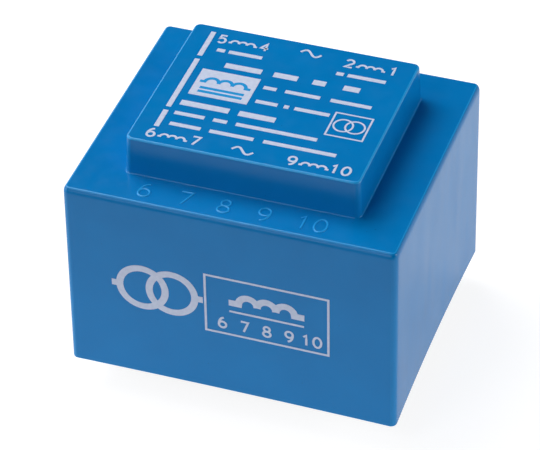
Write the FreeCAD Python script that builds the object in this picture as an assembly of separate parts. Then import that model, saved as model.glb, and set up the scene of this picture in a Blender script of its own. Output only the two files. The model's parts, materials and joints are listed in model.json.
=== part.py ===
import FreeCAD, Part
import math
import os

# A small mains transformer for a circuit board, sealed in a moulded plastic case.
# A stack of E and I sheets passes through a two-chamber bobbin with four windings.
# Their leads run down grooves to eight pins, and potting resin fills the case.
# Millimetres. X runs along the long side, Y from front to back, and Z is up.
# The origin is the centre of the pin pattern, on the plane that the rim seats on.
# What the resin hides and what repeats has few faces: round corners inside are a
# few flats, and the leads are six-sided.

# Core sheets: the window is as wide as an outer leg and three times as long
LEG_WIDTH = 6.4
SHEET_THICKNESS = 0.68
LAYERS = 20

# Bobbin
TUBE_CLEARANCE = 0.1
TUBE_WALL = 0.8
TUBE_CORNER_R = 0.8
FLANGE_THICKNESS = 0.8
FLANGE_CORNER_R = 1.5
FLANGE_MARGIN = 0.2
WINDOW_CLEARANCE = 0.3
YOKE_CLEARANCE = 0.1
LIP_REACH = 1.5
LIP_THICKNESS = 0.8
RAIL_HEIGHT = 4.0
RAIL_EDGE = 2.5
RAIL_CHAMFER = 0.6
RIB_THICKNESS = 0.8
POCKET_WALL = 1.25
POCKET_FLOOR = 1.0
GROOVE_WIDTH = 0.7
GROOVE_DEPTH = 0.5
GROOVE_INSET = 2.3

# Windings, each with a layer of tape round it
INNER_BUILD = 1.9
OUTER_BUILD = 1.8
TAPE_THICKNESS = 0.1
LEAD_DIAMETER = 0.4
LEAD_BITE = 0.6
WRAP_TURNS = 3

# Pins, two rows on a square grid, with the middle place of each row left empty
PIN_PITCH = 5.0
PIN_INSET = 3.5
PIN_DIAMETER = 0.8
PIN_FREE_LENGTH = 4.0
PIN_ROOT_LENGTH = 3.5
PIN_ROOT_SIDE = 0.7
SOLDER_FILM = 0.2

# Potting resin
RESIN_RECESS = 0.3
RESIN_COVER = 0.15

# Case
WALL = 1.0
SIDE_GAP = 0.3
END_GAP = 0.5
TOP_GAP = 0.2
BLOCK_SIDE_GAP = 0.9
BLOCK_END_GAP = 0.3
BODY_DRAFT_DEG = 0.4
BLOCK_DRAFT_DEG = 2.3
CORNER_R = 0.8
INNER_CORNER_CHAMFER = 0.3
TOP_EDGE_R = 0.35

# Flats in each round corner inside, and sides of a lead
CORNER_FLATS = 3
LEAD_SIDES = 6

# Worked out from the sizes above
pin_r = PIN_DIAMETER / 2
root_half = PIN_ROOT_SIDE / 2
lead_r = LEAD_DIAMETER / 2
wrap_half = root_half + LEAD_DIAMETER
wrap_height = WRAP_TURNS * LEAD_DIAMETER
solder_half = wrap_half + SOLDER_FILM
solder_height = wrap_height + 2 * SOLDER_FILM
rail_z = RESIN_RECESS + solder_height + 2 * RESIN_COVER
wrap_z = (RESIN_RECESS + rail_z) / 2
flange_z = rail_z + RAIL_HEIGHT

stack_height = LAYERS * SHEET_THICKNESS
core_half_x = 3 * LEG_WIDTH
core_half_y = 2.5 * LEG_WIDTH
window_half_y = 1.5 * LEG_WIDTH
inner_turn = INNER_BUILD
inner_tape = inner_turn + TAPE_THICKNESS
outer_turn = inner_tape + OUTER_BUILD
outer_tape = outer_turn + TAPE_THICKNESS
tube_half_x = LEG_WIDTH + TUBE_CLEARANCE + TUBE_WALL
tube_half_z = stack_height / 2 + TUBE_CLEARANCE + TUBE_WALL
flange_half_x = 2 * LEG_WIDTH - WINDOW_CLEARANCE
flange_half_z = tube_half_z + outer_tape + FLANGE_MARGIN
flange_outer_y = window_half_y - YOKE_CLEARANCE
flange_inner_y = flange_outer_y - FLANGE_THICKNESS
coil_z = flange_z + flange_half_z
flange_top_z = coil_z + flange_half_z
core_bottom_z = coil_z - stack_height / 2
core_top_z = coil_z + stack_height / 2
lip_y = flange_outer_y + LIP_REACH

row_y = core_half_y - PIN_INSET
rail_y = row_y + RAIL_EDGE
rail_half_x = 2 * PIN_PITCH + RAIL_EDGE
pin_top_z = rail_z + PIN_ROOT_LENGTH
lead_y = flange_inner_y + GROOVE_DEPTH / 2
takeoff_z = coil_z - tube_half_z - INNER_BUILD / 2
inner_groove_x = tube_half_x - GROOVE_INSET
outer_groove_x = tube_half_x + inner_tape + OUTER_BUILD / 2

case_half_x = core_half_x + SIDE_GAP + WALL
case_half_y = core_half_y + END_GAP + WALL
shoulder_z = core_top_z + TOP_GAP + WALL
block_half_x = flange_half_x + BLOCK_SIDE_GAP + WALL
block_half_y = lip_y + BLOCK_END_GAP + WALL
block_top_z = flange_top_z + TOP_GAP + WALL

X_AXIS = FreeCAD.Vector(1, 0, 0)
Y_AXIS = FreeCAD.Vector(0, 1, 0)
Z_AXIS = FreeCAD.Vector(0, 0, 1)
CENTRE = FreeCAD.Vector(0, 0, 0)


def box(x0, x1, y0, y1, z0, z1):
    """Block between two opposite corners."""
    return Part.makeBox(x1 - x0, y1 - y0, z1 - z0, FreeCAD.Vector(x0, y0, z0))


def polygon_face(points):
    """Flat face through the points, closed back to the first."""
    corners = [FreeCAD.Vector(*p) for p in points]
    return Part.Face(Part.makePolygon(corners + corners[:1]))


def stacked(rings):
    """Solid with flat sides through level outlines that have as many corners each."""
    faces = [polygon_face(rings[0]), polygon_face(rings[-1])]
    for low, high in zip(rings, rings[1:]):
        for k in range(len(low)):
            faces.append(polygon_face([low[k - 1], low[k], high[k], high[k - 1]]))
    return Part.makeSolid(Part.makeShell(faces)).removeSplitter()


def mirrored_y(shape):
    """The same shape on the other side of the plane between front and back."""
    return shape.mirror(CENTRE, Y_AXIS)


def edges_at(shape, z):
    """Edges that lie level at height z."""
    level = []
    for edge in shape.Edges:
        heights = [edge.CenterOfMass.z] + [v.Z for v in edge.Vertexes]
        if all(math.isclose(h, z, abs_tol=1e-4) for h in heights):
            level.append(edge)
    return level


def upright_edges(shape):
    """Edges that climb from the bottom of a drafted block to its top."""
    height = shape.BoundBox.ZLength
    return [e for e in shape.Edges if e.BoundBox.ZLength > height / 2]


def upright_plate(half_x, half_z, corner_r, y0, y1):
    """Plate with round corners, standing across Y and centred on the coil."""
    points = []
    for quarter in range(4):
        start = quarter * math.pi / 2
        side_x, side_z = ((1, 1), (-1, 1), (-1, -1), (1, -1))[quarter]
        for flat in range(CORNER_FLATS + 1):
            angle = start + flat * math.pi / 2 / CORNER_FLATS
            x = side_x * (half_x - corner_r) + corner_r * math.cos(angle)
            z = side_z * (half_z - corner_r) + corner_r * math.sin(angle)
            points.append((x, y0, coil_z + z))
    return polygon_face(points).extrude(Y_AXIS * (y1 - y0))


def post(x, y, half, z0, z1):
    """Square upright bar."""
    return box(x - half, x + half, y - half, y + half, z0, z1)


def octagon(x, y, z, half):
    """Level outline of a square with its corners cut back, centred on x and y."""
    short = half * math.tan(math.pi / 8)
    corners = [
        (half, -short), (half, short), (short, half), (-short, half),
        (-half, short), (-half, -short), (-short, -half), (short, -half),
    ]
    return [(x + a, y + b, z) for a, b in corners]


# Core

def e_sheet(z):
    """E-shaped sheet with its yoke at the front and its legs towards the back."""
    u = LEG_WIDTH
    outline = [
        (-3 * u, -core_half_y, z), (3 * u, -core_half_y, z), (3 * u, window_half_y, z),
        (2 * u, window_half_y, z), (2 * u, -window_half_y, z), (u, -window_half_y, z),
        (u, window_half_y, z), (-u, window_half_y, z), (-u, -window_half_y, z),
        (-2 * u, -window_half_y, z), (-2 * u, window_half_y, z), (-3 * u, window_half_y, z),
    ]
    return polygon_face(outline).extrude(Z_AXIS * SHEET_THICKNESS)


def i_sheet(z):
    """I-shaped sheet that closes the legs of an E sheet at the back."""
    return box(-core_half_x, core_half_x, window_half_y, core_half_y, z, z + SHEET_THICKNESS)


def core_sheets():
    """The interleaved stack: every other layer is turned end for end."""
    sheets = {}
    for layer in range(LAYERS):
        z = core_bottom_z + layer * SHEET_THICKNESS
        e, i = e_sheet(z), i_sheet(z)
        if layer % 2:
            e, i = mirrored_y(e), mirrored_y(i)
        sheets["e_lamination_%02d" % (layer + 1)] = e
        sheets["i_lamination_%02d" % (layer + 1)] = i
    return sheets


def core_envelope():
    """The stack as one body, for cutting its room out of the resin."""
    u = LEG_WIDTH
    block = box(-core_half_x, core_half_x, -core_half_y, core_half_y, core_bottom_z, core_top_z)
    windows = [
        box(x, x + u, -window_half_y, window_half_y, core_bottom_z, core_top_z)
        for x in (-2 * u, u)
    ]
    return block.cut(windows)


# Bobbin

def pin_places():
    """X of every place in a pin row, with the middle one."""
    return [k * PIN_PITCH for k in (-2, -1, 0, 1, 2)]


def pin_rail():
    """Bar under the back flange: pin holes below, pockets above and grooves for the leads."""
    bar = box(-rail_half_x, rail_half_x, flange_inner_y, rail_y, rail_z, flange_z)
    outer_corners = [e for e in upright_edges(bar) if e.CenterOfMass.y > row_y]
    bar = bar.makeChamfer(RAIL_CHAMFER, outer_corners)
    holes = [post(x, row_y, root_half, rail_z, pin_top_z) for x in pin_places()]
    pockets = [
        box(
            x + POCKET_WALL, x + PIN_PITCH - POCKET_WALL,
            flange_outer_y + POCKET_WALL, rail_y - POCKET_WALL,
            rail_z + POCKET_FLOOR, flange_z,
        )
        for x in pin_places()[:-1]
    ]
    return bar.cut(holes + pockets)


def rail_rib(x):
    """Triangular web that ties the rail to the flange, in front of one pin."""
    half = RIB_THICKNESS / 2
    triangle = polygon_face([
        (x - half, flange_outer_y, flange_z),
        (x - half, rail_y - POCKET_WALL, flange_z),
        (x - half, flange_outer_y, core_bottom_z - YOKE_CLEARANCE),
    ])
    return triangle.extrude(X_AXIS * RIB_THICKNESS)


def lip(z):
    """Shelf that reaches over the yoke from the back flange."""
    half_x = flange_half_x - FLANGE_CORNER_R
    return box(-half_x, half_x, flange_outer_y, lip_y, z, z + LIP_THICKNESS)


def bobbin_end():
    """Back flange with its lips, its rail and the webs between them."""
    plate = upright_plate(
        flange_half_x, flange_half_z, FLANGE_CORNER_R, flange_inner_y, flange_outer_y
    )
    foot = box(
        -flange_half_x, flange_half_x, flange_inner_y, flange_outer_y,
        rail_z, flange_z + FLANGE_CORNER_R,
    )
    lips = [lip(core_top_z + YOKE_CLEARANCE), lip(flange_top_z - LIP_THICKNESS)]
    ribs = [rail_rib(x) for x in pin_places()]
    return plate.fuse([foot, pin_rail()] + lips + ribs)


def lead_grooves():
    """Upright grooves in the chamber side of the back flange and rail."""
    top = takeoff_z + GROOVE_WIDTH / 2
    return [
        box(
            x - GROOVE_WIDTH / 2, x + GROOVE_WIDTH / 2,
            flange_inner_y, flange_inner_y + GROOVE_DEPTH, rail_z, top,
        )
        for side in (-1, 1) for x in (side * inner_groove_x, side * outer_groove_x)
    ]


def bobbin():
    """Two-chamber bobbin, moulded in one piece."""
    tube = upright_plate(
        tube_half_x, tube_half_z, TUBE_CORNER_R, -flange_outer_y, flange_outer_y
    )
    half = FLANGE_THICKNESS / 2
    partition = upright_plate(flange_half_x, flange_half_z, FLANGE_CORNER_R, -half, half)
    end = bobbin_end()
    grooves = lead_grooves()
    opening = box(
        -tube_half_x + TUBE_WALL, tube_half_x - TUBE_WALL, -flange_outer_y, flange_outer_y,
        coil_z - tube_half_z + TUBE_WALL, coil_z + tube_half_z - TUBE_WALL,
    )
    whole = tube.fuse([partition, end, mirrored_y(end)])
    whole = whole.cut(grooves + [mirrored_y(g) for g in grooves] + [opening])
    return whole.removeSplitter()


# Windings

def turn_ring(inner, outer):
    """Ring of wire or tape round the tube in the back chamber, between two offsets."""
    y0, y1 = FLANGE_THICKNESS / 2, flange_inner_y
    rings = [
        upright_plate(tube_half_x + t, tube_half_z + t, TUBE_CORNER_R + t, y0, y1)
        for t in (outer, inner)
    ]
    return rings[0].cut(rings[1])


def lead(groove_x, pin_x):
    """Lead from the back winding, down its groove and under the rail to a pin."""
    drop = FreeCAD.Vector(groove_x, lead_y, wrap_z)
    root = FreeCAD.Vector(pin_x, row_y, wrap_z)
    end = root - (root - drop).normalize() * (root_half + lead_r)
    start = FreeCAD.Vector(groove_x, flange_inner_y - LEAD_BITE, takeoff_z)
    bend = FreeCAD.Vector(groove_x, lead_y, takeoff_z)
    section = []
    for side in range(LEAD_SIDES):
        angle = side * 2 * math.pi / LEAD_SIDES
        across = X_AXIS * math.cos(angle) + Z_AXIS * math.sin(angle)
        section.append(start + across * lead_r)
    path = Part.makePolygon([start, bend, drop, end])
    outline = Part.makePolygon(section + section[:1])
    mitred = 1
    return path.makePipeShell([outline], True, False, mitred)


def wire_wrap(pin_x):
    """Turns of the lead round the square root of a pin, as one sleeve."""
    z0, z1 = wrap_z - wrap_height / 2, wrap_z + wrap_height / 2
    sleeve = polygon_face(octagon(pin_x, row_y, z0, wrap_half)).extrude(Z_AXIS * wrap_height)
    return sleeve.cut(post(pin_x, row_y, root_half, z0, z1))


def winding(inner, outer, groove_x, pin_x):
    """Winding in the back chamber with its two leads and their wraps."""
    pieces = []
    for side in (-1, 1):
        pieces.append(lead(side * groove_x, side * pin_x))
        pieces.append(wire_wrap(side * pin_x))
    return turn_ring(inner, outer).fuse(pieces)


def back_windings():
    """Windings and tapes of the back chamber, from the tube outwards."""
    return {
        "winding_inner": winding(0, inner_turn, inner_groove_x, PIN_PITCH),
        "tape_inner": turn_ring(inner_turn, inner_tape),
        "winding_outer": winding(inner_tape, outer_turn, outer_groove_x, 2 * PIN_PITCH),
        "tape_outer": turn_ring(outer_turn, outer_tape),
    }


# Pins and solder

def pin(x, y):
    """Pin that is round outside and coined square where the resin and the rail hold it."""
    foot = FreeCAD.Vector(x, y, -PIN_FREE_LENGTH)
    free = Part.makeCylinder(pin_r, PIN_FREE_LENGTH + RESIN_RECESS, foot)
    return free.fuse(post(x, y, root_half, RESIN_RECESS, pin_top_z))


def solder_joint(x, y, wires):
    """Bell of solder round the wire's turns on a pin."""
    low = wrap_z - solder_height / 2
    high = wrap_z + solder_height / 2
    taper = 2 * SOLDER_FILM
    bell = stacked([
        octagon(x, y, low, wrap_half), octagon(x, y, low + taper, solder_half),
        octagon(x, y, high - taper, solder_half), octagon(x, y, high, wrap_half),
    ])
    return bell.cut([wires, post(x, y, root_half, low, high)])


# Case

def outline(half_x, half_y, z):
    """Corners of a level rectangle centred on the origin."""
    return [(-half_x, -half_y, z), (half_x, -half_y, z), (half_x, half_y, z), (-half_x, half_y, z)]


def drafted(half_x, half_y, z0, z1, draft_deg):
    """Block whose walls lean in as they rise."""
    lean = (z1 - z0) * math.tan(math.radians(draft_deg))
    return stacked([outline(half_x, half_y, z0), outline(half_x - lean, half_y - lean, z1)])


def rounded(block, top_z):
    """The block with its upright edges and its top edges rounded."""
    block = block.makeFillet(CORNER_R, upright_edges(block))
    return block.makeFillet(TOP_EDGE_R, edges_at(block, top_z))


def case_outside():
    """Body of the case with the block raised on it."""
    body = drafted(case_half_x, case_half_y, 0, shoulder_z, BODY_DRAFT_DEG)
    block = drafted(block_half_x, block_half_y, shoulder_z, block_top_z, BLOCK_DRAFT_DEG)
    return rounded(body, shoulder_z).fuse(rounded(block, block_top_z))


def case_inside():
    """Room inside the case, from the plane of the rim up."""
    ceiling_z = shoulder_z - WALL
    lower = drafted(case_half_x - WALL, case_half_y - WALL, 0, ceiling_z, BODY_DRAFT_DEG)
    upper = drafted(
        block_half_x - WALL, block_half_y - WALL, ceiling_z, block_top_z - WALL,
        BLOCK_DRAFT_DEG,
    )
    rooms = [r.makeChamfer(INNER_CORNER_CHAMFER, upright_edges(r)) for r in (lower, upper)]
    return rooms[0].fuse(rooms[1])


def resin(room, contents):
    """Resin that fills the room above its surface and surrounds the contents."""
    below = box(-case_half_x, case_half_x, -case_half_y, case_half_y, -WALL, RESIN_RECESS)
    return room.cut([below] + contents)


def transformer():
    """Every piece by its name."""
    pieces = core_sheets()
    pieces["bobbin"] = bobbin()
    for name, shape in back_windings().items():
        pieces["secondary_" + name] = shape
        pieces["primary_" + name] = mirrored_y(shape)

    back_x = [2 * PIN_PITCH, PIN_PITCH, -PIN_PITCH, -2 * PIN_PITCH]
    places = dict(zip((1, 2, 4, 5), [(x, row_y) for x in back_x]))
    places.update(zip((6, 7, 9, 10), [(x, -row_y) for x in reversed(back_x)]))
    joints = []
    for number, (x, y) in places.items():
        pieces["pin_%d" % number] = pin(x, y)
        side = "secondary" if y > 0 else "primary"
        layer = "inner" if abs(x) < 1.5 * PIN_PITCH else "outer"
        wires = pieces["%s_winding_%s" % (side, layer)]
        joints.append(solder_joint(x, y, wires))
    pieces["solder_joints"] = Part.makeCompound(joints)

    room = case_inside()
    contents = [core_envelope()] + joints
    contents += [s for n, s in pieces.items() if "lamination" not in n and n != "solder_joints"]
    pieces["potting_compound"] = resin(room, contents)
    pieces["case"] = case_outside().cut(room)
    return pieces


os.makedirs("parts", exist_ok=True)
for name, shape in transformer().items():
    shape.exportStep("parts/%s.step" % name)
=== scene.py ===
import json
import math

import bmesh
import bpy
from mathutils import Matrix, Vector

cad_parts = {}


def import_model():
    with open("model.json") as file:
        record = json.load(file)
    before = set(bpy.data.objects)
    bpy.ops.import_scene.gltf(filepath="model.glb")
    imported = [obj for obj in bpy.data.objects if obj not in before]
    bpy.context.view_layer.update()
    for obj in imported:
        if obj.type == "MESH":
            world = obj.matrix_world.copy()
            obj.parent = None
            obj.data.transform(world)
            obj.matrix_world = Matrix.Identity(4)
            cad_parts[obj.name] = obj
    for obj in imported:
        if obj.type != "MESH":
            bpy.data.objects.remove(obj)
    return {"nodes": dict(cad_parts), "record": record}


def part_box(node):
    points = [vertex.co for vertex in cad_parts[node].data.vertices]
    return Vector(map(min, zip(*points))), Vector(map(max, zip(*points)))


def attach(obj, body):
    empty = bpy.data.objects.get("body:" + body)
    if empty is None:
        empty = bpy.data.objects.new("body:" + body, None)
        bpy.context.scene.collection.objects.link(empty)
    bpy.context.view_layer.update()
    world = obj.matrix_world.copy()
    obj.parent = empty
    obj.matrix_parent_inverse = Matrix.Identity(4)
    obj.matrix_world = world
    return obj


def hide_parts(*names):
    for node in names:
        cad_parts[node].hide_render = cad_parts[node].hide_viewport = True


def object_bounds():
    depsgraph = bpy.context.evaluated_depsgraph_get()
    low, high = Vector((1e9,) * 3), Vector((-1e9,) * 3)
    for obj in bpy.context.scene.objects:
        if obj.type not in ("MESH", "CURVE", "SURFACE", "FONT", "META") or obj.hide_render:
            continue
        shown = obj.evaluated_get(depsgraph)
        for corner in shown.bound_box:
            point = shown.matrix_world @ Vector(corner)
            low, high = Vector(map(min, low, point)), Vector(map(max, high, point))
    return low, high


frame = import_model()
cad_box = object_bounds()

# A transformer for a circuit board in a stepped blue case, seen from its front right.
# Shapes are worked out in millimetres, in the frame's axes, and made in metres.
METRE = 0.001
BODY = "root"


def in_mm(corner):
    return [c / METRE for c in corner]


body_half_x, body_half_y, top_z = in_mm(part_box("case")[1])
resin_z = in_mm(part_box("potting_compound")[0])[2]
core_top_z = in_mm(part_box("e_lamination_20")[1])[2]

# Case
WALL = 1.0
TOP_GAP = 0.2
BODY_DRAFT = math.tan(math.radians(0.4))
BLOCK_DRAFT = math.tan(math.radians(2.3))
BLOCK_HALF_X = 14.4
BLOCK_HALF_Y = 12.3
CORNER_R = 0.8
INNER_CORNER_R = 0.3
RIM_EDGE_R = 0.15
JUNCTION_R = 0.15
# The body's top edge rolls over gently on the wall's side and sharply on the shoulder's
ROLL_DEPTH = 0.45
ROLL_HEIGHT = 0.9
BLOCK_EDGE_R = 0.25
# How far the resin's shrinkage draws each wall in at the middle of its rim
FRONT_BOW = 0.17
SIDE_BOW = 0.3

shoulder_z = core_top_z + TOP_GAP + WALL
ceiling_z = shoulder_z - WALL

# Steps in each round corner, along each side, over each rounded edge and up each wall
CORNER_STEPS = 12
SIDE_STEPS = 36
EDGE_STEPS = 8
INNER_WALL_STEPS = 8
OUTER_WALL_STEPS = 12
# How far beside a rounded edge an extra ring keeps the flat face flat
SUPPORT = 0.06

# Moulded numbers on the shoulders, each row read from its own side
FRONT_NUMBERS = (6, 7, 8, 9, 10)
BACK_NUMBERS = (1, 2, 3, 4, 5)
NUMBER_PLACES = (-10.87, -5.96, -1.12, 3.69, 9.4)
NUMBER_Y = -14.8
NUMBER_HEIGHT = 2.3
RIDGE_WIDTH = 0.26
RIDGE_HEIGHT = 0.11

# Print, whose strokes stand at a few slightly different heights by turns
INK_THICKNESS = 0.02
STROKE_LIFT = 0.002
LIFTS = 5
THIN_LINE = 0.28
FINE_LINE = 0.22
TEXT_BAR = 0.62
BOLD_BAR = 0.95
SYMBOL_LINE = 0.88
PRINT_DIGIT = 1.5
# Humps of a drawn winding, and their radius and the length of a lead in each size
HUMPS = 3
TOP_COIL = (0.5, 0.3)
FIELD_COIL = (0.85, 0.6)
FRAME_COIL = (1.15, 1.2)

# Camera, from a fit to the case's edges in the photograph
PHOTO_WIDTH = 540
FOCAL_PX = 2989.93
SENSOR_MM = 36.0
CAMERA_AZIMUTH = 19.666
CAMERA_ELEVATION = 38.909
CAMERA_ROLL = -1.087
CAMERA_DISTANCE = 362.488
CAMERA_TARGET = (-0.91, -0.051, 12.0)


# Meshes

# Attribute that holds the sharpest outward turn of the surface at a point, in degrees
TURN = "turn"
ARC_STEP = 15


def add_object(name, data):
    """New object in the scene."""
    made = bpy.data.objects.new(name, data)
    bpy.context.collection.objects.link(made)
    return made


def new_mesh(name, verts, faces, material, smooth):
    """Mesh from points in millimetres."""
    mesh = bpy.data.meshes.new(name)
    mesh.from_pydata([[c * METRE for c in v] for v in verts], [], faces)
    for polygon in mesh.polygons:
        polygon.use_smooth = smooth
    mesh.materials.append(material)
    return mesh


def make_piece(name, verts, faces, material, slot=None, smooth=True):
    """Piece from points in millimetres, riding on the body. The slot argument is not used."""
    mesh = new_mesh(name, verts, faces, material, smooth)
    work = bmesh.new()
    work.from_mesh(mesh)
    bmesh.ops.recalc_face_normals(work, faces=work.faces)
    work.to_mesh(mesh)
    turns = [
        max(math.degrees(e.calc_face_angle_signed(0)) for e in v.link_edges) for v in work.verts
    ]
    work.free()
    mesh.attributes.new(TURN, "FLOAT", "POINT").data.foreach_set("value", turns)
    piece = add_object(name, mesh)
    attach(piece, BODY)
    return piece


def bands(rings, closed=False):
    """Points of the rings, and the faces from each to the next, from the last too if closed."""
    count = len(rings[0])
    faces = []
    for r in range(len(rings) if closed else len(rings) - 1):
        near, far = r * count, (r + 1) % len(rings) * count
        for k in range(count):
            after = (k + 1) % count
            faces.append([near + k, near + after, far + after, far + k])
    return [p for ring in rings for p in ring], faces


def loft(rings):
    """Closed skin through rings with as many points each, capped at both ends."""
    verts, faces = bands(rings)
    count = len(rings[0])
    caps = [list(range(count)), list(range(len(verts) - count, len(verts)))]
    return verts, caps + faces


def joined(parts):
    """Several sets of points and faces as one."""
    verts, faces = [], []
    for part_verts, part_faces in parts:
        start = len(verts)
        verts += part_verts
        faces += [[i + start for i in face] for face in part_faces]
    return verts, faces


def arc(cx, cy, rx, ry, start, end, step=ARC_STEP):
    """Points of an arc of a circle or an ellipse, between two angles in degrees."""
    count = max(2, round(abs(end - start) / step))
    angles = [math.radians(start + (end - start) * k / count) for k in range(count + 1)]
    return [(cx + rx * math.cos(a), cy + ry * math.sin(a)) for a in angles]


# Case

def rounded_ring(half_x, half_y, radius, z, fade=0.0):
    """Rectangle with round corners at height z, its sides bowed in as far as fade says."""
    radius = max(radius, SUPPORT)
    ring = []
    for quarter in range(4):
        sx, sy = ((1, 1), (-1, 1), (-1, -1), (1, -1))[quarter]
        cx, cy = sx * (half_x - radius), sy * (half_y - radius)
        start = quarter * 90
        for px, py in arc(cx, cy, radius, radius, start, start + 90, 90 / CORNER_STEPS):
            ring.append((px, py, (px - cx) / radius, (py - cy) / radius))
        nx, ny = ((0, 1), (-1, 0), (0, -1), (1, 0))[quarter]
        end_x, end_y = ring[-1][:2]
        run_x = -2 * cx if ny else 0
        run_y = -2 * cy if nx else 0
        for k in range(1, SIDE_STEPS):
            t = k / SIDE_STEPS
            ring.append((end_x + run_x * t, end_y + run_y * t, nx, ny))
    bowed = []
    for x, y, nx, ny in ring:
        inward = FRONT_BOW * abs(ny) * (1 - (x / half_x) ** 2)
        inward += SIDE_BOW * abs(nx) * (1 - (y / half_y) ** 2)
        bowed.append((x - nx * inward * fade, y - ny * inward * fade, z))
    return bowed


def body_ring(inset, z, radius=CORNER_R):
    """Ring of the body, inset from its outer wall."""
    lean = z * BODY_DRAFT + inset
    fade = 1 - z / shoulder_z
    return rounded_ring(body_half_x - lean, body_half_y - lean, radius - inset, z, fade)


def block_ring(inset, z, radius=CORNER_R):
    """Ring of the raised block, inset from its outer wall."""
    lean = (z - shoulder_z) * BLOCK_DRAFT + inset
    return rounded_ring(BLOCK_HALF_X - lean, BLOCK_HALF_Y - lean, radius - inset, z)


def steps_between(low, high, count):
    """Evenly spaced heights, without the two ends."""
    return [low + (high - low) * k / count for k in range(1, count)]


def case_rings():
    """Rings from the ceiling inside, down to the rim, and up the outside to the top."""
    inner = INNER_CORNER_R + WALL
    edge_step = 90 / EDGE_STEPS
    rings = [block_ring(WALL + SUPPORT, top_z - WALL, inner), block_ring(WALL, top_z - WALL, inner)]
    rings += [block_ring(WALL, ceiling_z, inner), body_ring(WALL, ceiling_z, inner)]
    inner_heights = steps_between(RIM_EDGE_R, ceiling_z, INNER_WALL_STEPS)
    rings += [body_ring(WALL, z, inner) for z in reversed(inner_heights)]
    for x, y in arc(WALL - RIM_EDGE_R, RIM_EDGE_R, RIM_EDGE_R, RIM_EDGE_R, 0, -90, edge_step):
        rings.append(body_ring(x, y, inner))
    for x, y in arc(RIM_EDGE_R, RIM_EDGE_R, RIM_EDGE_R, RIM_EDGE_R, -90, -180, edge_step):
        rings.append(body_ring(x, y))
    roll_z = shoulder_z - ROLL_HEIGHT
    rings.append(body_ring(0, RIM_EDGE_R + SUPPORT))
    rings += [body_ring(0, z) for z in steps_between(RIM_EDGE_R, roll_z, OUTER_WALL_STEPS)]
    rings.append(body_ring(0, roll_z - SUPPORT))
    for x, y in arc(ROLL_DEPTH, roll_z, ROLL_DEPTH, ROLL_HEIGHT, 180, 90, edge_step / 2):
        rings.append(body_ring(x, y))
    rings.append(body_ring(ROLL_DEPTH + SUPPORT, shoulder_z))
    rings.append(block_ring(-JUNCTION_R - SUPPORT, shoulder_z))
    middle_z = shoulder_z + JUNCTION_R
    for x, y in arc(-JUNCTION_R, middle_z, JUNCTION_R, JUNCTION_R, -90, 0, edge_step):
        rings.append(block_ring(x, y))
    edge_z = top_z - BLOCK_EDGE_R
    rings += [block_ring(0, middle_z + SUPPORT), block_ring(0, edge_z - SUPPORT)]
    for x, y in arc(BLOCK_EDGE_R, edge_z, BLOCK_EDGE_R, BLOCK_EDGE_R, 180, 90, edge_step):
        rings.append(block_ring(x, y))
    rings.append(block_ring(BLOCK_EDGE_R + SUPPORT, top_z))
    return rings


# Where marks lie: across, up the mark and out of the surface, to a place in the frame

def on_top(u, v, w):
    return u, v, top_z + w


def on_front_shoulder(u, v, w):
    return u, v, shoulder_z + w


def on_back_shoulder(u, v, w):
    return -u, -v, shoulder_z + w


def on_front(u, v, w):
    bow = FRONT_BOW * (1 - v / shoulder_z) * (1 - (u / body_half_x) ** 2)
    return u, -(body_half_y - v * BODY_DRAFT - bow + w), v


# Strokes, as lists of points; the last point repeats the first where a stroke is closed

LONGEST_RUN = 1.0
# Where a stroke turns, how far its sides may reach out
SMALLEST_COSINE = 0.5
LONGEST_MITRE = 1.5


def resampled(points):
    """The same stroke with no run longer than the longest."""
    fine = [points[0]]
    for a, b in zip(points, points[1:]):
        count = max(1, math.ceil(math.dist(a, b) / LONGEST_RUN))
        for k in range(1, count + 1):
            fine.append((a[0] + (b[0] - a[0]) * k / count, a[1] + (b[1] - a[1]) * k / count))
    return fine


def ribbon(points, section):
    """Solid stroke: the section, as pairs across and out, carried along the points."""
    points = resampled(points)
    closed = math.dist(points[0], points[-1]) < 1e-6
    if closed:
        points = points[:-1]
    count = len(points)
    rings = []
    for k, (u, v) in enumerate(points):
        before = points[k - 1] if k or closed else points[k]
        after = points[(k + 1) % count] if k < count - 1 or closed else points[k]
        into = Vector((u - before[0], v - before[1]))
        out = Vector((after[0] - u, after[1] - v))
        into = into.normalized() if into.length else out.normalized()
        out = out.normalized() if out.length else into
        along = (into + out).normalized()
        mitre = min(1 / max(along.dot(out), SMALLEST_COSINE), LONGEST_MITRE)
        rings.append([(u - along.y * a * mitre, v + along.x * a * mitre, w) for a, w in section])
    return bands(rings, closed) if closed else loft(rings)


def ink(width):
    """Section of a printed line."""
    corners = ((-1, -1), (1, -1), (1, 1), (-1, 1))
    return [(a * width / 2, w * INK_THICKNESS) for a, w in corners]


def ridge():
    """Section of a moulded line, sunk a little into the surface."""
    return arc(0, 0, RIDGE_WIDTH / 2, RIDGE_HEIGHT, 0, 330, 30)


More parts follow.
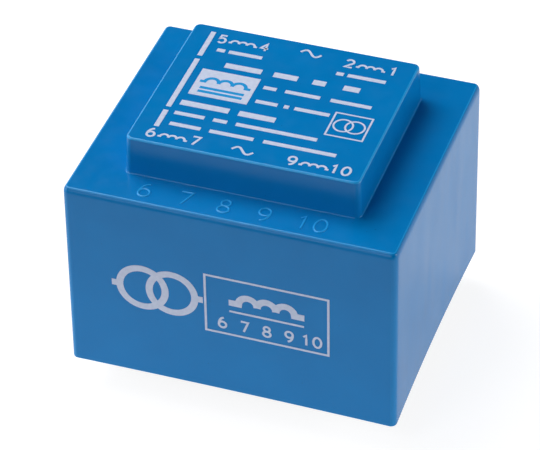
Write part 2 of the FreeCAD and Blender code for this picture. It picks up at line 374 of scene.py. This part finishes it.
DIGITS = {
    "0": [arc(0, 0, 0.32, 0.5, 0, 360)],
    "1": [[(-0.18, 0.3), (0.05, 0.5), (0.05, -0.5)]],
    "2": [arc(0, 0.2, 0.3, 0.3, 160, -25) + [(-0.3, -0.5), (0.32, -0.5)]],
    "3": [arc(0, 0.24, 0.26, 0.26, 150, -80), arc(0, -0.22, 0.3, 0.28, 80, -150)],
    "4": [[(0.12, -0.5), (0.12, 0.5), (-0.3, -0.2), (0.32, -0.2)]],
    "5": [[(0.25, 0.5), (-0.2, 0.5), (-0.26, 0.04)] + arc(0, -0.17, 0.3, 0.33, 130, -140)],
    "6": [arc(0, -0.2, 0.3, 0.3, 0, 360), arc(0.12, -0.2, 0.42, 0.7, 180, 90)],
    "7": [[(-0.3, 0.5), (0.3, 0.5), (-0.08, -0.5)]],
    "8": [arc(0, 0.26, 0.24, 0.24, 0, 360), arc(0, -0.24, 0.3, 0.26, 0, 360)],
    "9": [arc(0, 0.2, 0.3, 0.3, 0, 360), arc(-0.12, 0.2, 0.42, 0.7, 0, -90)],
}
DIGIT_ADVANCE = 0.95


def number(value, u, v, height):
    """Strokes of a plain number, centred on u and v."""
    text = str(value)
    strokes = []
    for k, digit in enumerate(text):
        shift = (k - (len(text) - 1) / 2) * DIGIT_ADVANCE
        for stroke in DIGITS[digit]:
            strokes.append([(u + (x + shift) * height, v + y * height) for x, y in stroke])
    return strokes


def coil(u, v, radius, lead):
    """Strokes of a winding, as circuit diagrams draw it: humps in a row between two leads."""
    centres = [u + (2 * k + 1 - HUMPS) * radius for k in range(HUMPS)]
    strokes = [arc(centre, v, radius, radius, 180, 0) for centre in centres]
    strokes[0] = [(centres[0] - radius - lead, v)] + strokes[0]
    strokes[-1] = strokes[-1] + [(centres[-1] + radius + lead, v)]
    return strokes


WAVE_STEPS = 16


def wave(u, v, length, height):
    """Stroke of the sign for alternating current."""
    shares = [k / WAVE_STEPS for k in range(WAVE_STEPS + 1)]
    return [(u + length * (t - 0.5), v + height / 2 * math.sin(2 * math.pi * t)) for t in shares]


def rectangle(u0, u1, v0, v1):
    """Closed stroke round a rectangle."""
    return [(u0, v0), (u1, v0), (u1, v1), (u0, v1), (u0, v0)]


def middle(edges):
    """Centre of a left, right, lower and upper edge."""
    return (edges[0] + edges[1]) / 2, (edges[2] + edges[3]) / 2


def moulded(values):
    """Strokes of the numbers along a shoulder."""
    strokes = []
    for value, u in zip(values, NUMBER_PLACES):
        strokes += [(stroke, ridge()) for stroke in number(value, u, NUMBER_Y, NUMBER_HEIGHT)]
    return strokes


def marks(name, strokes, place, material, slot=None):
    """One piece of solid strokes on a surface, from pairs of a stroke and its section.

    Strokes that meet stand at slightly different heights, so that their faces don't coincide.
    """
    parts = []
    for k, (points, section) in enumerate(strokes):
        lift = k % LIFTS * STROKE_LIFT
        parts.append(ribbon(points, [(a, w + lift) for a, w in section]))
    verts, faces = joined(parts)
    return make_piece(name, [place(*v) for v in verts], faces, material, slot, smooth=False)


# The top's print: bars in rows, the four windings with their pin numbers, and symbols

TOP_ROWS = [
    (7.45, TEXT_BAR, [(-9.9, -8.9), (-8.4, -4.2)]),
    (7.25, TEXT_BAR, [(5.2, 6.1), (6.6, 11.3)]),
    (4.75, BOLD_BAR, [(-7.9, -3.3), (-1.8, 1.2), (3.1, 4.7), (6.9, 8.9)]),
    (1.95, TEXT_BAR, [(-2.1, -0.5), (0.6, 4.9), (6.2, 11.2)]),
    (-0.9, TEXT_BAR, [(-2.1, 0.6), (1.4, 2.0), (2.7, 7.0)]),
    (-3.75, BOLD_BAR, [(-10.4, -4.4), (-3.2, 1.3)]),
    (-5.85, TEXT_BAR, [(-10.4, -6.7), (-5.6, -3.9), (-2.8, 7.1)]),
    (-8.0, TEXT_BAR, [(-10.2, -6.4), (-5.3, 0.1), (1.3, 10.1)]),
]
LEFT_BARS = [(-9.0, -5.7), (-5.0, 5.0), (5.7, 10.8)]
LEFT_BARS_X = -11.5
# Two pin numbers, and where the winding between them is drawn
WINDINGS = [(5, 4, -7.3, 9.7), (2, 1, 8.8, 9.6), (6, 7, -8.9, -10.3), (9, 10, 8.3, -10.4)]
WINDING_HALF = 2.7
TWO_DIGIT_SHIFT = 0.4
WAVES = [(1.1, 10.1), (-0.4, -10.4)]
WAVE_SIZE = (2.6, 1.1)
# Framed circles, as the left, right, lower and upper edge of the frame
BADGE = (7.6, 12.1, -4.5, -0.1)
BADGE_R = 1.15
BADGE_SPREAD = 0.72
# Light field with a winding and two lines, by its edges in the same order
FIELD = (-10.2, -2.9, -1.9, 3.35)
FIELD_MARGIN = 0.9
FIELD_COIL_RISE = 0.2
FIELD_LINE_DROPS = (1.0, 1.75)


def top_strokes():
    strokes = []
    for v, width, runs in TOP_ROWS:
        strokes += [([(a, v), (b, v)], ink(width)) for a, b in runs]
    for a, b in LEFT_BARS:
        strokes.append(([(LEFT_BARS_X, a), (LEFT_BARS_X, b)], ink(TEXT_BAR)))
    for left, right, u, v in WINDINGS:
        for value, side in ((left, -1), (right, 1)):
            reach = WINDING_HALF + (TWO_DIGIT_SHIFT if value > 9 else 0)
            digits = number(value, u + side * reach, v, PRINT_DIGIT)
            strokes += [(s, ink(THIN_LINE)) for s in digits]
        strokes += [(s, ink(THIN_LINE)) for s in coil(u, v - PRINT_DIGIT / 4, *TOP_COIL)]
    strokes += [(wave(u, v, *WAVE_SIZE), ink(THIN_LINE)) for u, v in WAVES]
    strokes.append((rectangle(*BADGE), ink(FINE_LINE)))
    u, v = middle(BADGE)
    for side in (-1, 1):
        circle = arc(u + side * BADGE_SPREAD, v, BADGE_R, BADGE_R, 0, 360)
        strokes.append((circle, ink(FINE_LINE)))
    left, right, low, high = FIELD
    v = (low + high) / 2
    strokes.append(([(left, v), (right, v)], ink(high - low)))
    return strokes


def field_strokes():
    """Winding and core left blue in the light field."""
    u, v = middle(FIELD)
    lines = coil(u, v + FIELD_COIL_RISE, *FIELD_COIL)
    for drop in FIELD_LINE_DROPS:
        lines.append([(FIELD[0] + FIELD_MARGIN, v - drop), (FIELD[1] - FIELD_MARGIN, v - drop)])
    section = [(a, w + INK_THICKNESS) for a, w in ink(SYMBOL_LINE / 2)]
    return [(line, section) for line in lines]


# The front's print: the sign of a transformer, and a frame with a winding and its pins

SIGN_Z = 13.4
SIGN_R = 2.85
SIGN_CENTRES = (-10.8, -7.1)
SIGN_LEAD = 1.0
FRAME = (-2.95, 12.2, 9.0, 17.4)
FRAME_PIN_PITCH = 2.75
FRAME_PIN_Z = 10.6
FRAME_COIL_Z = 13.9
FRAME_LINE_HALF = 4.6
FRAME_LINE_DROP = 1.3


def front_strokes():
    strokes = []
    for side, u in zip((-1, 1), SIGN_CENTRES):
        strokes.append((arc(u, SIGN_Z, SIGN_R, SIGN_R, 0, 360, 7.5), ink(SYMBOL_LINE)))
        rim = u + side * SIGN_R
        strokes.append(([(rim, SIGN_Z), (rim + side * SIGN_LEAD, SIGN_Z)], ink(SYMBOL_LINE)))
    strokes.append((rectangle(*FRAME), ink(THIN_LINE)))
    centre = middle(FRAME)[0]
    strokes += [(s, ink(SYMBOL_LINE)) for s in coil(centre, FRAME_COIL_Z, *FRAME_COIL)]
    line_z = FRAME_COIL_Z - FRAME_LINE_DROP
    line = [(centre - FRAME_LINE_HALF, line_z), (centre + FRAME_LINE_HALF, line_z)]
    strokes.append((line, ink(THIN_LINE)))
    for k, value in enumerate(FRONT_NUMBERS):
        u = centre + (k - (len(FRONT_NUMBERS) - 1) / 2) * FRAME_PIN_PITCH
        strokes += [(s, ink(THIN_LINE)) for s in number(value, u, FRAME_PIN_Z, PRINT_DIGIT)]
    return strokes


# Underside

PIN_R = 0.4
PIN_ROOT_R = 0.35
PIN_TIP = 0.2
PIN_SIDES = 32
# The resin climbs the wall and the pins from a thin film over the solid resin
RESIN_FILM = 0.02
CREEP_HEIGHT = 0.18
CREEP_REACH = 0.5
CREEP_POWER = 2.5
CREEP_SHARES = [k / EDGE_STEPS for k in range(EDGE_STEPS + 1)]
COLLAR_BORE_R = 0.36


def circle_ring(x, y, radius, z):
    return [(px, py, z) for px, py in arc(x, y, radius, radius, 0, 360, 360 / PIN_SIDES)[:-1]]


def pin_rings(x, y, low, high):
    """Pin with a coined tip, and a thinner root in the resin."""
    steps = [
        (PIN_R - PIN_TIP, low), (PIN_R - PIN_TIP / 4, low + PIN_TIP / 2), (PIN_R, low + PIN_TIP),
        (PIN_R, resin_z), (PIN_ROOT_R, resin_z), (PIN_ROOT_R, high),
    ]
    return [circle_ring(x, y, radius, z) for radius, z in steps]


def creep(t):
    """How far the resin stands out at a share of its reach."""
    return RESIN_FILM + CREEP_HEIGHT * (1 - t) ** CREEP_POWER


def resin_skin_rings():
    """Surface of the resin, which climbs a little at the wall."""
    inner = INNER_CORNER_R + WALL
    rings = [body_ring(WALL + CREEP_REACH, resin_z, inner + CREEP_REACH)]
    rings.append(body_ring(WALL, resin_z, inner))
    for t in CREEP_SHARES:
        inset = WALL + t * CREEP_REACH
        rings.append(body_ring(inset, resin_z - creep(t), inner + inset))
    return rings


def pin_collar_rings(x, y):
    """Resin that climbs a pin."""
    rings = [circle_ring(x, y, PIN_R + CREEP_REACH, resin_z)]
    for t in reversed(CREEP_SHARES):
        rings.append(circle_ring(x, y, PIN_R + t * CREEP_REACH, resin_z - creep(t)))
    return rings + [circle_ring(x, y, COLLAR_BORE_R, z) for z in (resin_z - creep(0), resin_z)]


# Materials

class Nodes:
    """A material's node tree with short calls for what is used here."""

    def __init__(self, name):
        self.material = bpy.data.materials.new(name)
        self.material.use_nodes = True
        self.tree = self.material.node_tree
        self.shader = self.tree.nodes["Principled BSDF"]
        self.place = self.tree.nodes.new("ShaderNodeTexCoord").outputs["Object"]

    def node(self, kind, **inputs):
        """New node with its inputs, whose names have _ for a space."""
        made = self.tree.nodes.new(kind)
        for key, value in inputs.items():
            self.feed(made.inputs[key.replace("_", " ")], value)
        return made

    def feed(self, socket, value):
        """Links another node's output to a socket, or sets a plain value on it."""
        if isinstance(value, bpy.types.NodeSocket):
            self.tree.links.new(value, socket)
        else:
            socket.default_value = value

    def noise(self, size_mm, detail=4.0, stretch=(1, 1, 1)):
        """Noise with spots of about that size, drawn out along an axis by stretch."""
        mapping = self.node("ShaderNodeMapping", Vector=self.place, Scale=stretch)
        scale = 1 / (size_mm * METRE)
        texture = self.node("ShaderNodeTexNoise", Vector=mapping.outputs[0], Scale=scale)
        self.feed(texture.inputs["Detail"], detail)
        return texture.outputs[0]

    def ranged(self, value, low, high, start=0.3, end=0.7):
        """Number from low to high while the value goes from start to end."""
        ends = {"From_Min": start, "From_Max": end, "To_Min": low, "To_Max": high}
        return self.node("ShaderNodeMapRange", Value=value, **ends).outputs[0]

    def turn(self):
        """How sharply the piece's surface turns outwards, as make_piece wrote it."""
        made = self.node("ShaderNodeAttribute")
        made.attribute_name = TURN
        return made.outputs["Fac"]

    def blend(self, share, a, b):
        """Colour from a to b, by the mix node's colour sockets."""
        made = self.tree.nodes.new("ShaderNodeMix")
        made.data_type = "RGBA"
        self.feed(made.inputs["Factor"], share)
        self.feed(made.inputs[6], a)
        self.feed(made.inputs[7], b)
        return made.outputs[2]

    def mottled(self, noise, dark, light):
        """Colour that wanders between two with the noise."""
        return self.blend(self.ranged(noise, 0, 1), dark, light)

    def bump(self, height, depth_mm, strength=1.0):
        depth = depth_mm * METRE
        made = self.node("ShaderNodeBump", Strength=strength, Distance=depth, Height=height)
        self.feed(self.shader.inputs["Normal"], made.outputs[0])

    def set(self, **inputs):
        """Feeds the shader and gives the finished material."""
        for key, value in inputs.items():
            self.feed(self.shader.inputs[key.replace("_", " ")], value)
        return self.material


# Turns, in degrees, at which the painted highlight along the case's edges begins and is brightest,
# and how strong it is
HIGHLIGHT_TURN = (7.0, 10.5)
HIGHLIGHT_SHARE = 0.7


def case_plastic():
    """Moulded blue plastic: even but for a few specks, with a painted highlight in lighter blue
    along its edges.
    """
    n = Nodes("case_plastic")
    colour = n.mottled(n.noise(6.0), (0.0, 0.207, 0.565, 1), (0.0, 0.223, 0.6, 1))
    specks = n.ranged(n.noise(0.35, 1.0), 0, 0.5, 0.79, 0.83)
    colour = n.blend(specks, colour, (0.0, 0.03, 0.12, 1))
    # Painted highlight: the colour turns lighter blue where the surface turns sharply outwards,
    # along edges and the moulded numbers
    edges = n.ranged(n.turn(), 0, HIGHLIGHT_SHARE, *HIGHLIGHT_TURN)
    colour = n.blend(edges, colour, (0.03, 0.42, 0.9, 1))
    rough = n.ranged(n.noise(2.0, 3.0, (1, 1, 0.15)), 0.17, 0.27)
    n.bump(n.noise(9.0, 2.0), 0.02, 0.5)
    return n.set(Base_Color=colour, Roughness=rough, IOR=1.38)


def print_ink():
    """Matt pad print, a little thin in places."""
    n = Nodes("print_ink")
    colour = n.mottled(n.noise(0.5), (0.6, 0.68, 0.88, 1), (0.69, 0.76, 0.95, 1))
    return n.set(Base_Color=colour, Roughness=n.ranged(n.noise(1.0), 0.55, 0.7), IOR=1.4)


def potting_resin():
    """Cast resin: dark, with a slight sheen, slow waves and fine filler."""
    n = Nodes("potting_resin")
    colour = n.mottled(n.noise(0.6), (0.012, 0.016, 0.028, 1), (0.028, 0.034, 0.05, 1))
    n.bump(n.noise(5.0, 3.0), 0.08, 0.6)
    return n.set(Base_Color=colour, Roughness=n.ranged(n.noise(4.0), 0.25, 0.42), IOR=1.52)


def bobbin_plastic():
    """Off-white glass-filled plastic with flow marks."""
    n = Nodes("bobbin_plastic")
    flow = n.noise(1.5, 5.0, (1, 0.3, 1))
    colour = n.mottled(flow, (0.66, 0.62, 0.52, 1), (0.76, 0.73, 0.64, 1))
    n.bump(n.noise(0.3), 0.01, 0.5)
    return n.set(Base_Color=colour, Roughness=n.ranged(flow, 0.4, 0.55))


def core_steel():
    """Rolled silicon steel under a thin grey coat."""
    n = Nodes("core_steel")
    grain = n.noise(0.6, 6.0, (0.1, 1, 1))
    colour = n.mottled(grain, (0.14, 0.15, 0.16, 1), (0.24, 0.25, 0.27, 1))
    n.bump(grain, 0.006, 0.5)
    return n.set(Base_Color=colour, Roughness=n.ranged(grain, 0.35, 0.5), Metallic=0.9)


def copper_wire():
    """Enamelled wire, its turns side by side along the bobbin, with painted shade in the grooves
    between them.
    """
    n = Nodes("copper_wire")
    turns = n.node("ShaderNodeTexWave", Vector=n.place, Scale=2400.0, Distortion=0.4)
    turns.bands_direction = "Y"
    # Painted shade: the colour darkens into the grooves between turns, with the same waves as the
    # bump
    colour = n.blend(turns.outputs[1], (0.34, 0.08, 0.02, 1), (0.78, 0.28, 0.1, 1))
    n.bump(turns.outputs[1], 0.05, 0.7)
    return n.set(Base_Color=colour, Roughness=n.ranged(n.noise(1.0), 0.22, 0.35), Metallic=0.9)


def insulating_tape():
    """Thin yellow film with faint creases."""
    n = Nodes("insulating_tape")
    crease = n.noise(1.2, 6.0, (1, 0.2, 1))
    colour = n.mottled(crease, (0.72, 0.42, 0.03, 1), (0.85, 0.56, 0.07, 1))
    n.bump(crease, 0.02, 0.5)
    return n.set(Base_Color=colour, Roughness=n.ranged(crease, 0.2, 0.35))


def bright_metal(name, dark, light, grain_mm, stretch):
    """Tin or solder: bright, with a soft grain."""
    n = Nodes(name)
    grain = n.noise(grain_mm, 5.0, stretch)
    colour = n.mottled(grain, dark, light)
    n.bump(grain, 0.008, 0.5)
    return n.set(Base_Color=colour, Roughness=n.ranged(grain, 0.22, 0.4), Metallic=1.0)


# Studio

# The floor's glow as light on the object and as the camera sees it
FLOOR_GLOW_CAST = 0.56
FLOOR_GLOW_SEEN = 0.865
# How far in front the light that the floor throws has ended, and begins to fade
GLOW_END = (100.0, 70.0)
FLOOR_R = 1200.0
FLOOR_RISE = 500.0
FLOOR_SWEEP = (-80, -5)
FLOOR_RINGS = 8
FLOOR_SIDES = 96
LIGHT_DISTANCE = 0.8
# Name, azimuth from the front towards the right, elevation, size and radiance
LIGHTS = [
    ("front_key", -26, 47, 0.24, 3.6),
    ("left", -95, 40, 0.7, 1.45),
    ("low_left", -60, 15, 0.4, 2.6),
    ("low_front", -10, 12, 0.4, 1.6),
    ("low_right", 95, 15, 0.4, 4.6),
    ("back_left", -120, 60, 0.5, 4.15),
]
WORLD_GREY = 0.01


def floor_white():
    """Pale matt sweep that glows. The light it throws ends not far in front of the object."""
    n = Nodes("floor_white")
    colour = n.mottled(n.noise(80.0), (0.34, 0.34, 0.34, 1), (0.36, 0.36, 0.36, 1))
    seen = n.node("ShaderNodeLightPath").outputs["Is Camera Ray"]
    along = n.node("ShaderNodeSeparateXYZ", Vector=n.place).outputs["Y"]
    thrown = n.ranged(along, 0, 1, *(-METRE * far for far in GLOW_END))
    glow = n.ranged(seen, n.ranged(thrown, 0, FLOOR_GLOW_CAST, 0, 1), FLOOR_GLOW_SEEN, 0, 1)
    reach = n.ranged(seen, thrown, 1, 0, 1)
    return n.set(
        Base_Color=n.blend(reach, (0, 0, 0, 1), colour), Roughness=1.0, Specular_IOR_Level=0.0,
        Emission_Color=(1, 1, 1, 1), Emission_Strength=glow,
    )


def floor():
    """Round table whose rim curves up out of sight."""
    ground_z = in_mm(cad_box[0])[2]
    profile = [(FLOOR_R * k / FLOOR_RINGS, 0) for k in range(1, FLOOR_RINGS + 1)]
    for x, z in arc(0, 0, FLOOR_RISE, FLOOR_RISE, *FLOOR_SWEEP, 7.5):
        profile.append((FLOOR_R + x, FLOOR_RISE + z))
    angles = [2 * math.pi * k / FLOOR_SIDES for k in range(FLOOR_SIDES)]
    rings = [[(r * math.cos(a), r * math.sin(a), ground_z + z) for a in angles] for r, z in profile]
    verts, faces = bands(rings)
    faces = [list(range(FLOOR_SIDES))] + [face[::-1] for face in faces]
    add_object("floor", new_mesh("floor", verts, faces, floor_white(), True))


def direction(azimuth, elevation):
    """Unit vector from the object; azimuth 0 is the front and 90 the right."""
    a, e = math.radians(azimuth), math.radians(elevation)
    return Vector((math.sin(a) * math.cos(e), -math.cos(a) * math.cos(e), math.sin(e)))


def softbox(name, azimuth, elevation, size, radiance):
    """Square light that faces the object."""
    light = bpy.data.lights.new(name, "AREA")
    light.shape = "SQUARE"
    light.size = size
    light.energy = radiance * math.pi * size * size
    lamp = add_object(name, light)
    towards = direction(azimuth, elevation)
    lamp.location = towards * LIGHT_DISTANCE
    lamp.rotation_euler = towards.to_track_quat("Z", "Y").to_euler()


def camera():
    """Camera where the photograph was taken from."""
    data = bpy.data.cameras.new("camera")
    data.sensor_width = SENSOR_MM
    data.lens = FOCAL_PX / PHOTO_WIDTH * SENSOR_MM
    data.clip_start = 0.01
    data.clip_end = 20
    eye = add_object("camera", data)
    back = direction(CAMERA_AZIMUTH, CAMERA_ELEVATION)
    level = Vector((0, 0, 1)).cross(back).normalized()
    upright = back.cross(level)
    roll = math.radians(CAMERA_ROLL)
    right = level * math.cos(roll) + upright * math.sin(roll)
    up = upright * math.cos(roll) - level * math.sin(roll)
    place = (Vector(CAMERA_TARGET) + back * CAMERA_DISTANCE) * METRE
    eye.matrix_world = Matrix.Translation(place) @ Matrix((right, up, back)).transposed().to_4x4()
    bpy.context.scene.camera = eye


def world():
    """Dim grey surround."""
    surround = bpy.data.worlds.new("surround")
    surround.use_nodes = True
    background = surround.node_tree.nodes["Background"]
    background.inputs["Color"].default_value = (1, 1, 1, 1)
    background.inputs["Strength"].default_value = WORLD_GREY
    bpy.context.scene.world = surround


# The whole

finishes = {
    "case_plastic": case_plastic(),
    "potting_resin": potting_resin(),
    "bobbin_plastic": bobbin_plastic(),
    "core_steel": core_steel(),
    "copper_wire": copper_wire(),
    "insulating_tape": insulating_tape(),
    "solder": bright_metal("solder", (0.5, 0.51, 0.53, 1), (0.68, 0.69, 0.7, 1), 0.4, (1, 1, 1)),
    "tinned_pin": bright_metal(
        "tinned_pin", (0.6, 0.6, 0.58, 1), (0.78, 0.78, 0.76, 1), 0.3, (1, 1, 0.1)
    ),
}
ink_finish = print_ink()
for entry in frame["record"]["subparts"]:
    mesh = frame["nodes"][entry["node"]].data
    mesh.materials.clear()
    mesh.materials.append(finishes[entry["material_slot"]])

blue = finishes["case_plastic"]
shell = make_piece("moulded_case", *loft(case_rings()), blue, "case_plastic")
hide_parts("case")

marks("front_numbers", moulded(FRONT_NUMBERS), on_front_shoulder, blue, "case_plastic")
marks("back_numbers", moulded(BACK_NUMBERS), on_back_shoulder, blue, "case_plastic")
marks("top_print", top_strokes(), on_top, ink_finish)
marks("top_print_symbol", field_strokes(), on_top, blue, "case_plastic")
marks("front_print", front_strokes(), on_front, ink_finish)

resin = [loft(resin_skin_rings())]
for node in [n for n in frame["nodes"] if n.startswith("pin_")]:
    low, high = (in_mm(c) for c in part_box(node))
    x, y = (low[0] + high[0]) / 2, (low[1] + high[1]) / 2
    rings = pin_rings(x, y, low[2], high[2])
    tinned = make_piece("tinned_" + node, *loft(rings), finishes["tinned_pin"], "tinned_pin")
    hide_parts(node)
    resin.append(loft(pin_collar_rings(x, y)))
make_piece("resin_surface", *joined(resin), finishes["potting_resin"], "potting_resin")

floor()
for settings in LIGHTS:
    softbox(*settings)
world()
camera()
bpy.context.scene.view_settings.view_transform = "Standard"
